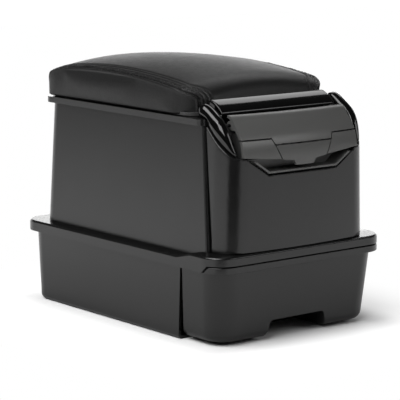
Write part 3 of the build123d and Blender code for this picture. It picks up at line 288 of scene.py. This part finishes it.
def studio_floor(colour, back):
    """Matt white studio paper that keeps the soft shadow of the part, with a dark gap towards the camera."""
    material, tree, place = new_material("studio_floor")
    paper = add(tree, "ShaderNodeBsdfDiffuse", {"Color": [*colour, 1]})
    # the paper glows only outside the part's footprint, so that the shadow under it stays dark
    mirrored = add(tree, "ShaderNodeVectorMath", {0: place}, operation="ABSOLUTE")
    beyond = add(tree, "ShaderNodeVectorMath", {0: mirrored.outputs["Vector"], 1: FOOTPRINT},
                 operation="SUBTRACT")
    outside = add(tree, "ShaderNodeVectorMath", {0: beyond.outputs["Vector"]}, operation="MAXIMUM")
    gap = add(tree, "ShaderNodeVectorMath", {0: outside.outputs["Vector"]}, operation="LENGTH")
    # the glow fades in over the first 5 cm beyond the footprint, so close to the part the paper is painted
    # darker as well as shadowed
    clear = add(tree, "ShaderNodeMapRange", {"Value": gap.outputs["Value"], "From Max": 0.05},
                interpolation_type="SMOOTHSTEP")
    shine = add(tree, "ShaderNodeMath", {0: clear.outputs["Result"], 1: 0.42}, operation="MULTIPLY")
    glow = add(tree, "ShaderNodeEmission", {"Color": (1, 1, 1, 1), "Strength": shine.outputs[0]})
    lit = add(tree, "ShaderNodeAddShader", {0: paper.outputs["BSDF"], 1: glow.outputs["Emission"]})
    # the polished corners mirror a dark gap where the camera stands
    spot = add(tree, "ShaderNodeVectorMath", {0: place, 1: NEAR_CORNER}, operation="SUBTRACT")
    along = add(tree, "ShaderNodeVectorMath", {0: spot.outputs["Vector"], 1: (back.x, back.y, 0.0)},
                operation="DOT_PRODUCT")
    aside = add(tree, "ShaderNodeVectorMath", {0: spot.outputs["Vector"], 1: (-back.y, back.x, 0.0)},
                operation="DOT_PRODUCT")
    wide = add(tree, "ShaderNodeMath", {0: aside.outputs["Value"], 1: along.outputs["Value"]},
               operation="DIVIDE")
    off = add(tree, "ShaderNodeMath", {0: wide.outputs[0]}, operation="ABSOLUTE")
    beside = add(tree, "ShaderNodeMapRange", {"Value": off.outputs[0], "From Min": 0.35, "From Max": 0.55},
                 interpolation_type="SMOOTHSTEP")
    near = add(tree, "ShaderNodeMapRange", {"Value": along.outputs["Value"], "From Min": 0.34,
                                            "From Max": 0.46, "To Min": 1.0, "To Max": 0.0},
               interpolation_type="SMOOTHSTEP")
    level = add(tree, "ShaderNodeMath", {0: beside.outputs["Result"], 1: near.outputs["Result"]},
                operation="MAXIMUM")
    # in reflections the paper also glows a little outside the footprint and the dark gap, a painted
    # brightening
    even = add(tree, "ShaderNodeMath", {0: level.outputs[0], 1: clear.outputs["Result"]},
               operation="MULTIPLY")
    strength = add(tree, "ShaderNodeMath", {0: even.outputs[0], 1: 0.2}, operation="MULTIPLY")
    sheen = add(tree, "ShaderNodeEmission", {"Color": (1, 1, 1, 1), "Strength": strength.outputs[0]})
    # in reflections the paper is painted darker close to the part, a painted contact shadow
    painted_contact_shadow = add(tree, "ShaderNodeMapRange", {"Value": gap.outputs["Value"], "From Max": 0.35,
                                               "To Min": 0.5})
    dimmed = add(tree, "ShaderNodeMath", {0: level.outputs[0], 1: painted_contact_shadow.outputs["Result"]},
                 operation="MULTIPLY")
    shade = add(tree, "ShaderNodeMixShader", {0: dimmed.outputs[0], 2: paper.outputs["BSDF"]})
    mirror = add(tree, "ShaderNodeAddShader", {0: shade.outputs["Shader"], 1: sheen.outputs["Emission"]})
    # beyond the shadow the paper fades into the white backdrop
    fade = add(tree, "ShaderNodeMapRange", {"Value": gap.outputs["Value"], "From Min": 0.01,
                                            "From Max": 0.14}, interpolation_type="SMOOTHSTEP")
    white = add(tree, "ShaderNodeEmission", {"Color": (1, 1, 1, 1), "Strength": 1.0})
    shown = add(tree, "ShaderNodeMixShader", {0: fade.outputs["Result"], 1: lit.outputs["Shader"],
                                              2: white.outputs["Emission"]})
    path = add(tree, "ShaderNodeLightPath")
    seen = add(tree, "ShaderNodeMixShader", {0: path.outputs["Is Camera Ray"], 1: paper.outputs["BSDF"],
                                             2: shown.outputs["Shader"]})
    out = add(tree, "ShaderNodeMixShader", {0: path.outputs["Is Glossy Ray"], 1: seen.outputs["Shader"],
                                            2: mirror.outputs["Shader"]})
    add(tree, "ShaderNodeOutputMaterial", {"Surface": out.outputs["Shader"]})
    return material


def studio_world(back):
    """White for the camera; for the part, a bright backdrop behind it and a dim room above and in front."""
    world = bpy.data.worlds.new("studio_world")
    world.use_nodes = True
    tree = world.node_tree
    tree.nodes.clear()
    ray = add(tree, "ShaderNodeTexCoord").outputs["Generated"]
    away = add(tree, "ShaderNodeVectorMath", {0: ray, 1: (-back.x, -back.y, 0.0)}, operation="DOT_PRODUCT")
    behind = add(tree, "ShaderNodeMapRange", {"Value": away.outputs["Value"], "From Min": 0.30,
                                              "From Max": 0.75}, interpolation_type="SMOOTHSTEP")
    rise = add(tree, "ShaderNodeSeparateXYZ", {"Vector": ray})
    low = add(tree, "ShaderNodeMapRange", {"Value": rise.outputs["Z"], "From Min": 0.02, "From Max": 0.36,
                                           "To Min": 4.20, "To Max": 0.08}, interpolation_type="SMOOTHSTEP")
    middle = add(tree, "ShaderNodeMapRange", {"Value": away.outputs["Value"], "From Min": 0.72,
                                              "From Max": 0.98, "To Min": 0.35, "To Max": 1.0},
                 interpolation_type="SMOOTHSTEP")
    wide = add(tree, "ShaderNodeMath", {0: behind.outputs["Result"], 1: middle.outputs["Result"]},
               operation="MULTIPLY")
    backdrop = add(tree, "ShaderNodeMath", {0: wide.outputs[0], 1: low.outputs["Result"]},
                   operation="MULTIPLY")
    room = add(tree, "ShaderNodeMath", {0: backdrop.outputs[0], 1: 0.04}, operation="ADD")
    path = add(tree, "ShaderNodeLightPath")
    level = add(tree, "ShaderNodeMath", {0: room.outputs[0], 1: path.outputs["Is Camera Ray"]},
                operation="MAXIMUM")
    sky = add(tree, "ShaderNodeBackground", {"Color": (1, 1, 1, 1), "Strength": level.outputs[0]})
    add(tree, "ShaderNodeOutputWorld", {"Surface": sky.outputs["Background"]})
    return world


def softbox(name, way, distance, size, radiance):
    """An area light seen from the part in one direction, as bright as a softbox of that radiance."""
    bpy.ops.object.light_add(type="AREA", location=Vector(way).normalized() * distance + SOFTBOX_AIM)
    lamp = bpy.context.object
    lamp.name = name
    lamp.data.shape = "RECTANGLE"
    lamp.data.size, lamp.data.size_y = size
    lamp.data.energy = radiance * math.pi * size[0] * size[1]
    lamp.rotation_euler = Vector(way).to_track_quat("Z", "Y").to_euler()


def leave_only(obj):
    """Selects one object and makes it active, in object mode."""
    if bpy.context.mode != "OBJECT":
        bpy.ops.object.mode_set(mode="OBJECT")
    bpy.ops.object.select_all(action="DESELECT")
    obj.select_set(True)
    bpy.context.view_layer.objects.active = obj


def apply_modifier(obj, kind, **settings):
    """Adds a modifier with its settings and applies it."""
    leave_only(obj)
    modifier = obj.modifiers.new(kind.lower(), kind)
    for name, value in settings.items():
        setattr(modifier, name, value)
    bpy.ops.object.modifier_apply(modifier=modifier.name)


def dress(names, material, edge=0.0, clamp=True):
    """Gives CAD nodes a finish, and rounds their sharp edges by a small radius."""
    for name in names:
        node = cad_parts[name]
        node.data.materials.clear()
        node.data.materials.append(material)
        node.data.shade_smooth()
        if not edge:
            continue
        weld = node.modifiers.new("weld", "WELD")
        weld.merge_threshold = WELD
        flats = node.modifiers.new("flats", "DECIMATE")
        flats.decimate_type = "DISSOLVE"
        flats.angle_limit = math.radians(0.5)
        bevel = node.modifiers.new("edges", "BEVEL")
        bevel.width = edge
        bevel.segments = 3
        bevel.limit_method = "ANGLE"
        bevel.angle_limit = math.radians(35)
        bevel.use_clamp_overlap = clamp
        bevel.harden_normals = True
        normals = node.modifiers.new("normals", "WEIGHTED_NORMAL")
        normals.keep_sharp = True


def rounded_cheeks():
    """Geometry nodes that soften the bezel's cheeks into round ridges and leave the strip between them."""
    tree = bpy.data.node_groups.new("rounded_cheeks", "GeometryNodeTree")
    for way in ("INPUT", "OUTPUT"):
        tree.interface.new_socket("Geometry", in_out=way, socket_type="NodeSocketGeometry")
    place = add(tree, "GeometryNodeInputPosition").outputs["Position"]
    blur = add(tree, "GeometryNodeBlurAttribute", {"Iterations": CHEEK_SOFTENING}, data_type="FLOAT_VECTOR")
    tree.links.new(place, next(i for i in blur.inputs if i.enabled and i.name == "Value"))
    soft = next(o for o in blur.outputs if o.enabled)
    swell = add(tree, "ShaderNodeVectorMath", {0: add(tree, "GeometryNodeInputNormal").outputs["Normal"],
                                               "Scale": CHEEK_SWELL}, operation="SCALE")
    full = add(tree, "ShaderNodeVectorMath", {0: soft, 1: swell.outputs["Vector"]}, operation="ADD")
    across = add(tree, "ShaderNodeSeparateXYZ", {"Vector": place})
    aside = add(tree, "ShaderNodeMath", {0: across.outputs["X"]}, operation="ABSOLUTE")
    share = add(tree, "ShaderNodeMapRange", {"Value": aside.outputs[0], "From Min": CHEEK_START,
                                             "From Max": CHEEK_FULL}, interpolation_type="SMOOTHSTEP")
    mixed = add(tree, "ShaderNodeMix", {0: share.outputs["Result"]}, data_type="VECTOR")
    ends = [i for i in mixed.inputs if i.enabled and i.name in ("A", "B")]
    tree.links.new(place, ends[0])
    tree.links.new(full.outputs["Vector"], ends[1])
    moved = add(tree, "GeometryNodeSetPosition", {"Geometry": add(tree, "NodeGroupInput").outputs["Geometry"],
                                                  "Position": next(o for o in mixed.outputs if o.enabled)})
    add(tree, "NodeGroupOutput", {"Geometry": moved.outputs["Geometry"]})
    return tree


def smooth_path(points, step):
    """A closely spaced line through points, rounded between them."""
    line = []
    for i in range(len(points) - 1):
        before, a, b, after = (points[max(0, min(j, len(points) - 1))] for j in range(i - 1, i + 3))
        count = max(2, round((b - a).length / step))
        for k in range(count):
            t = k / count
            line.append(0.5 * (2 * a + (b - before) * t + (2 * before - 5 * a + 4 * b - after) * t * t
                               + (3 * a - before - 3 * b + after) * t ** 3))
    return line + [points[-1]]


def surface_of(obj):
    """A search tree over the faces of a mesh."""
    mesh = obj.data
    return BVHTree.FromPolygons([v.co for v in mesh.vertices], [p.vertices for p in mesh.polygons])


def seam_lines(obj):
    """Both side seams on the cover: points with the surface normal and the way towards the top panel."""
    tree = surface_of(obj)
    lines = []
    for side in (1, -1):
        path = smooth_path([Vector((x * side, y, z)) * MM for x, y, z in SEAM_PATH], SEAM_STEP)
        spots = [tree.find_nearest(point)[:2] for point in path]
        line = []
        for i, (point, normal) in enumerate(spots):
            along = (spots[min(i + 4, len(spots) - 1)][0] - spots[max(i - 4, 0)][0]).normalized()
            inward = normal.cross(along) * (-1 if side > 0 else 1)
            line.append((point, normal, inward.normalized()))
        lines.append(line)
    return lines


def offset_line(obj, line, distance):
    """The line on the cover at a distance from a seam, towards the top panel."""
    tree = surface_of(obj)
    steps = max(1, round(distance / (2 * MM)))
    moved = []
    for point, normal, inward in line:
        for _ in range(steps):
            point, normal, _, _ = tree.find_nearest(point + inward * (distance / steps))
            inward = (inward - normal * inward.dot(normal)).normalized()
        moved.append((point, normal))
    return moved


def seam_distances(obj, lines, reach):
    """For each vertex near a seam, its signed distance from it, positive on the top panel."""
    tree = KDTree(sum(len(line) for line in lines))
    spots = [spot for line in lines for spot in line]
    for i, (point, _, _) in enumerate(spots):
        tree.insert(point, i)
    tree.balance()
    found = {}
    for vertex in obj.data.vertices:
        point, index, distance = tree.find(vertex.co)
        if distance < reach:
            found[vertex.index] = math.copysign(distance, (vertex.co - point).dot(spots[index][2]))
    return found


def lid_top(x, y, low, high, puff):
    """Height of the slack lid above a point, in metres: arched along and across, rolled at both ends."""
    arch = (y - LID_APEX) ** 2 / (2 * LID_ARCH_RADIUS)
    across = (SIDE_FALL - puff) * (x / high.x) ** 2
    front = min(1.0, max(0.0, (low.y + ROLL_LENGTH - y) / ROLL_LENGTH))
    rear = min(1.0, max(0.0, (y - high.y + ROLL_LENGTH) / ROLL_LENGTH))
    rolled = FRONT_ROLL * (1 - math.sqrt(1 - front * front)) + REAR_ROLL * (1 - math.sqrt(1 - rear * rear))
    return high.z - puff - arch - across - rolled


class ArmrestColours(bpy.types.PropertyGroup):
    """Colours of the armrest's finishes."""
    grained: bpy.props.FloatVectorProperty(
        name="Grained plastic", description="Colour of the moulded box, base and drawer",
        default=linear("#111111"), subtype="COLOR", min=0, max=1)
    gloss: bpy.props.FloatVectorProperty(
        name="Gloss plastic", description="Colour of the polished bezel",
        default=linear("#040404"), subtype="COLOR", min=0, max=1)
    satin: bpy.props.FloatVectorProperty(
        name="Satin plastic", description="Colour of the flap, trims, latch and finger recess",
        default=linear("#515150"), subtype="COLOR", min=0, max=1)
    inner: bpy.props.FloatVectorProperty(
        name="Inner plastic", description="Colour of the pocket, pan, runners and cup wells",
        default=linear("#3d3d3d"), subtype="COLOR", min=0, max=1)
    leather: bpy.props.FloatVectorProperty(
        name="Leather", description="Colour of the lid cover",
        default=linear("#121212"), subtype="COLOR", min=0, max=1)
    thread: bpy.props.FloatVectorProperty(
        name="Thread", description="Colour of the stitching",
        default=linear("#242424"), subtype="COLOR", min=0, max=1)
    zinc: bpy.props.FloatVectorProperty(
        name="Zinc plating", description="Colour of the screws and hinge pins",
        default=linear("#b9bab8"), subtype="COLOR", min=0, max=1)
    blacked: bpy.props.FloatVectorProperty(
        name="Blacked steel", description="Colour of the latch's pin and spring and the flap's pins",
        default=linear("#2b2b2c"), subtype="COLOR", min=0, max=1)
    floor: bpy.props.FloatVectorProperty(
        name="Floor", description="Colour of the studio paper",
        default=linear("#fafafa"), subtype="COLOR", min=0, max=1)


class ArmrestSizes(bpy.types.PropertyGroup):
    """Sizes of the armrest's soft and fine forms."""
    edge: bpy.props.FloatProperty(
        name="Edge radius", description="Rounding of the moulded edges",
        default=0.6 * MM, unit="LENGTH", min=0)
    voxel: bpy.props.FloatProperty(
        name="Cloth mesh", description="Mesh size of the lid cover while it is inflated",
        default=3.5 * MM, unit="LENGTH", min=2 * MM)
    puff: bpy.props.FloatProperty(
        name="Puff", description="Furthest that the cover swells between its seams",
        default=4.0 * MM, unit="LENGTH", min=0)
    stitch_length: bpy.props.FloatProperty(
        name="Stitch length", description="Length of one stitch",
        default=3.4 * MM, unit="LENGTH", min=MM)
    stitch_pitch: bpy.props.FloatProperty(
        name="Stitch pitch", description="Distance from one stitch to the next",
        default=4.6 * MM, unit="LENGTH", min=MM)
    thread_radius: bpy.props.FloatProperty(
        name="Thread radius", description="Radius of the sewing thread",
        default=0.45 * MM, unit="LENGTH", min=0)


class ARMREST_OT_grained_shells(bpy.types.Operator):
    """Gives the box, base, deck, fascia and drawer their moulded grain"""
    bl_idname = "armrest.grained_shells"
    bl_label = "Grained shells"

    def execute(self, context):
        material = grained_abs(context.scene.armrest_colours.grained)
        dress(GRAINED_NODES, material, context.scene.armrest_sizes.edge)
        dress(("front_fascia",), material, FASCIA_EDGE_FACTOR * context.scene.armrest_sizes.edge, clamp=False)
        return {"FINISHED"}


class ARMREST_OT_gloss_bezel(bpy.types.Operator):
    """Polishes the bezel and rounds its cheeks"""
    bl_idname = "armrest.gloss_bezel"
    bl_label = "Gloss bezel"

    def execute(self, context):
        dress(("gloss_bezel",), gloss_abs(context.scene.armrest_colours.gloss))
        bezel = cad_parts["gloss_bezel"]
        bezel.modifiers.new("weld", "WELD").merge_threshold = WELD
        evened = bezel.modifiers.new("evened", "REMESH")
        evened.mode = "VOXEL"
        evened.voxel_size = BEZEL_MESH
        evened.use_smooth_shade = True
        rounded = bezel.modifiers.new("rounded", "SMOOTH")
        rounded.factor = 0.5
        rounded.iterations = 8
        bezel.modifiers.new("ridges", "NODES").node_group = rounded_cheeks()
        return {"FINISHED"}


class ARMREST_OT_satin_panels(bpy.types.Operator):
    """Gives the flap, the trims, the latch paddle and the finger recess their satin finish"""
    bl_idname = "armrest.satin_panels"
    bl_label = "Satin panels"

    def execute(self, context):
        dress(SATIN_NODES, satin_abs(context.scene.armrest_colours.satin), context.scene.armrest_sizes.edge)
        return {"FINISHED"}


class ARMREST_OT_inner_parts(bpy.types.Operator):
    """Gives the pocket, runners, cup wells and lid pan their plain finish"""
    bl_idname = "armrest.inner_parts"
    bl_label = "Inner parts"

    def execute(self, context):
        dress(INNER_NODES, inner_polypropylene(context.scene.armrest_colours.inner),
              context.scene.armrest_sizes.edge / 2)
        return {"FINISHED"}


class ARMREST_OT_steel_parts(bpy.types.Operator):
    """Plates the screws and hinge pins with zinc, and blackens the steel of the latch and the flap's pins"""
    bl_idname = "armrest.steel_parts"
    bl_label = "Steel parts"

    def execute(self, context):
        colours = context.scene.armrest_colours
        edge = context.scene.armrest_sizes.edge / 3
        dress(ZINC_NODES, plated_steel("zinc_plated_steel", colours.zinc), edge)
        dress(BLACKED_NODES, plated_steel("blacked_spring_steel", colours.blacked), edge)
        return {"FINISHED"}


class ARMREST_OT_lid_cover(bpy.types.Operator):
    """Builds the padded leather cover of the lid, inflated as cloth between its seams"""
    bl_idname = "armrest.lid_cover"
    bl_label = "Lid cover"

    def execute(self, context):
        scene = context.scene
        sizes = scene.armrest_sizes
        low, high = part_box("lid_cushion")
        flat = high.z - BLOCK_DROP
        bpy.ops.object.select_all(action="DESELECT")
        bpy.ops.mesh.primitive_cube_add(
            size=1.0, location=(0, (low.y + high.y) / 2, (low.z + flat) / 2),
            scale=(high.x - low.x, high.y - low.y, flat - low.z))
        cover = context.object
        cover.name = "lid_cover"
        bpy.ops.object.transform_apply(location=True, rotation=False, scale=True)
        self.bevel_edges(cover, lambda a, b: abs(a.z - b.z) > 10 * MM and a.y > 0, REAR_CORNER, 6)
        self.bevel_edges(cover, lambda a, b: abs(a.z - b.z) > 10 * MM and a.y < low.y + 5 * MM,
                         FRONT_CORNER, 8)
        self.bevel_edges(cover, lambda a, b: min(a.z, b.z) > flat - MM, TOP_EDGE, 2)
        cover.data.remesh_voxel_size = sizes.voxel
        bpy.ops.object.voxel_remesh()
        bpy.ops.object.mode_set(mode="EDIT")
        bpy.ops.mesh.select_all(action="SELECT")
        bpy.ops.mesh.vertices_smooth(factor=0.5, repeat=1)
        bpy.ops.object.mode_set(mode="OBJECT")
        for vertex in cover.data.vertices:
            top = lid_top(vertex.co.x, vertex.co.y, low, high, sizes.puff)
            vertex.co.z = low.z + (vertex.co.z - low.z) * (top - low.z) / (flat - low.z)
        self.inflate(scene, cover, low, sizes.puff)
        apply_modifier(cover, "SUBSURF", levels=1, render_levels=1)
        self.fit(cover, low, high)
        self.sew(cover)
        for point in (vertex.co for vertex in cover.data.vertices):
            inside = abs(point.x) < high.x - HEM_WIDTH and low.y + HEM_WIDTH < point.y < high.y - HEM_WIDTH
            if inside and point.z < low.z + UNDERSIDE:
                point.z = max(point.z, low.z + HEM_DEPTH)
        cover.data.shade_smooth()
        cover.data.materials.append(coated_leather(scene.armrest_colours.leather))
        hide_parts("lid_cushion")
        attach(cover, "lid")
        return {"FINISHED"}

    def bevel_edges(self, obj, chosen, offset, segments):
        """Rounds the edges whose two ends pass a test."""
        leave_only(obj)
        bpy.ops.object.mode_set(mode="EDIT")
        bpy.ops.mesh.select_mode(type="EDGE")
        bpy.ops.mesh.select_all(action="DESELECT")
        bpy.ops.object.mode_set(mode="OBJECT")
        points = [v.co for v in obj.data.vertices]
        for edge in obj.data.edges:
            edge.select = chosen(points[edge.vertices[0]], points[edge.vertices[1]])
        bpy.ops.object.mode_set(mode="EDIT")
        bpy.ops.mesh.bevel(offset=offset, segments=segments, affect="EDGES")
        bpy.ops.object.mode_set(mode="OBJECT")

    def inflate(self, scene, cover, low, cap):
        """Swells the cover between its seams and its foot, no further than the cap."""
        held = cover.vertex_groups.new(name="held")
        near = seam_distances(cover, seam_lines(cover), HELD_WIDTH)
        held.add(list(near), 1.0, "REPLACE")
        held.add([v.index for v in cover.data.vertices if v.co.z < low.z + HELD_WIDTH], 1.0, "REPLACE")
        rest = [v.co.copy() for v in cover.data.vertices]
        leave_only(cover)
        cloth = cover.modifiers.new("cloth", "CLOTH")
        cloth.settings.use_pressure = True
        cloth.settings.uniform_pressure_force = PRESSURE
        cloth.settings.effector_weights.gravity = 0.0
        cloth.settings.vertex_group_mass = "held"
        cloth.point_cache.frame_start = 1
        cloth.point_cache.frame_end = CLOTH_FRAMES
        for step in range(1, CLOTH_FRAMES + 1):
            scene.frame_set(step)
        bpy.ops.object.modifier_apply(modifier="cloth")
        scene.frame_set(1)
        furthest = max((v.co - r).length for v, r in zip(cover.data.vertices, rest))
        for vertex, start in zip(cover.data.vertices, rest):
            vertex.co = start + (vertex.co - start) * cap / furthest
        cover.vertex_groups.clear()

    def fit(self, cover, low, high):
        """Stretches the cover sideways and lengthways to the full outline of the lid."""
        points = [v.co for v in cover.data.vertices]
        spans = [(min(p[axis] for p in points), max(p[axis] for p in points)) for axis in (0, 1)]
        wanted = ((low.x - LID_BULGE, high.x + LID_BULGE), (low.y, high.y + LID_BULGE))
        for point in points:
            for axis, ((first, last), (start, end)) in enumerate(zip(spans, wanted)):
                point[axis] = start + (point[axis] - first) / (last - first) * (end - start)

    def sew(self, cover):
        """Refines the cover along its seams and presses the seams and stitch rows into it."""
        near = seam_distances(cover, seam_lines(cover), RELIEF_REACH)
        near = {index for index, distance in near.items() if distance > -SIDE_REACH}
        bpy.ops.object.mode_set(mode="EDIT")
        bpy.ops.mesh.select_mode(type="FACE")
        bpy.ops.mesh.select_all(action="DESELECT")
        bpy.ops.object.mode_set(mode="OBJECT")
        for face in cover.data.polygons:
            face.select = all(v in near for v in face.vertices)
        bpy.ops.object.mode_set(mode="EDIT")
        bpy.ops.mesh.subdivide(number_cuts=2, smoothness=0.6)
        bpy.ops.object.mode_set(mode="OBJECT")
        normals = [v.normal.copy() for v in cover.data.vertices]
        for index, distance in seam_distances(cover, seam_lines(cover), RELIEF_REACH).items():
            rise = sum(height * math.exp(-((distance / MM - at) / width) ** 2)
                       for at, height, width in SEAM_RELIEF)
            cover.data.vertices[index].co += normals[index] * rise * MM


class ARMREST_OT_lid_stitches(bpy.types.Operator):
    """Sews two rows of stitches along each side seam of the lid cover"""
    bl_idname = "armrest.lid_stitches"
    bl_label = "Lid stitches"

    def execute(self, context):
        sizes = context.scene.armrest_sizes
        cover = bpy.data.objects["lid_cover"]
        curve = bpy.data.curves.new("lid_stitches", "CURVE")
        curve.dimensions = "3D"
        curve.bevel_depth = sizes.thread_radius
        curve.bevel_resolution = 1
        curve.use_fill_caps = True
        for line in seam_lines(cover):
            for row in STITCH_ROWS:
                self.sew_row(curve, offset_line(cover, line, row * MM), sizes)
        stitches = bpy.data.objects.new("lid_stitches", curve)
        context.collection.objects.link(stitches)
        leave_only(stitches)
        bpy.ops.object.convert(target="MESH")
        stitches = context.object
        stitches.data.shade_smooth()
        stitches.data.materials.clear()
        stitches.data.materials.append(polyester_thread(context.scene.armrest_colours.thread))
        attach(stitches, "lid")
        return {"FINISHED"}

    def sew_row(self, curve, row, sizes):
        """Adds the stitches of one row, each a short arch of thread with its ends in the leather."""
        reach = max(2, round(sizes.stitch_length / SEAM_STEP))
        pitch = max(3, round(sizes.stitch_pitch / SEAM_STEP))
        last = len(STITCH_LIFT) - 1
        for first in range(STITCH_MARGIN, len(row) - reach - STITCH_MARGIN, pitch):
            spline = curve.splines.new("POLY")
            spline.points.add(last)
            for i, lift in enumerate(STITCH_LIFT):
                point, normal = row[first + round(reach * i / last)]
                spline.points[i].co = (*(point + normal * lift * MM), 1)


class ARMREST_OT_stage(bpy.types.Operator):
    """Adds the studio floor, the light and the camera at the photo's angle"""
    bl_idname = "armrest.stage"
    bl_label = "Stage"

    def execute(self, context):
        scene = context.scene
        back = Vector(CAMERA_BACK)
        bpy.ops.object.select_all(action="DESELECT")
        bpy.ops.mesh.primitive_plane_add(size=PAPER_SIZE, location=(0, 0, 0))
        floor = context.object
        floor.name = "studio_floor"
        floor.data.materials.append(studio_floor(scene.armrest_colours.floor, back))
        scene.world = studio_world(back)
        for name, settings in SOFTBOXES.items():
            softbox(name, *settings)
        bpy.ops.object.camera_add(location=CAMERA_PLACE)
        camera = context.object
        camera.name = "photo_camera"
        camera.rotation_euler = (-back).to_track_quat("-Z", "Y").to_euler()
        camera.data.lens = CAMERA_LENS
        camera.data.sensor_width = SENSOR
        camera.data.dof.use_dof = False
        scene.camera = camera
        scene.view_settings.view_transform = "Standard"
        return {"FINISHED"}


class ARMREST_PT_sidebar(bpy.types.Panel):
    """The armrest's colours, sizes and build steps in the sidebar"""
    bl_idname = "ARMREST_PT_sidebar"
    bl_label = "Car centre armrest"
    bl_space_type = "VIEW_3D"
    bl_region_type = "UI"
    bl_category = "Armrest"

    def draw(self, context):
        for group in (context.scene.armrest_colours, context.scene.armrest_sizes):
            box = self.layout.box()
            for name in group.bl_rna.properties.keys():
                if name not in ("name", "rna_type"):
                    box.prop(group, name)
        for step in STEPS:
            self.layout.operator(step.bl_idname)


STEPS = (ARMREST_OT_grained_shells, ARMREST_OT_gloss_bezel, ARMREST_OT_satin_panels, ARMREST_OT_inner_parts,
         ARMREST_OT_steel_parts, ARMREST_OT_lid_cover, ARMREST_OT_lid_stitches, ARMREST_OT_stage)
CLASSES = (ArmrestColours, ArmrestSizes, *STEPS, ARMREST_PT_sidebar)


def register():
    for cls in CLASSES:
        bpy.utils.register_class(cls)
    bpy.types.Scene.armrest_colours = bpy.props.PointerProperty(type=ArmrestColours)
    bpy.types.Scene.armrest_sizes = bpy.props.PointerProperty(type=ArmrestSizes)


def unregister():
    del bpy.types.Scene.armrest_sizes
    del bpy.types.Scene.armrest_colours
    for cls in reversed(CLASSES):
        bpy.utils.unregister_class(cls)


def main():
    register()
    bpy.ops.armrest.grained_shells()
    bpy.ops.armrest.gloss_bezel()
    bpy.ops.armrest.satin_panels()
    bpy.ops.armrest.inner_parts()
    bpy.ops.armrest.steel_parts()
    bpy.ops.armrest.lid_cover()
    bpy.ops.armrest.lid_stitches()
    bpy.ops.armrest.stage()


if __name__ == "__main__":
    main()
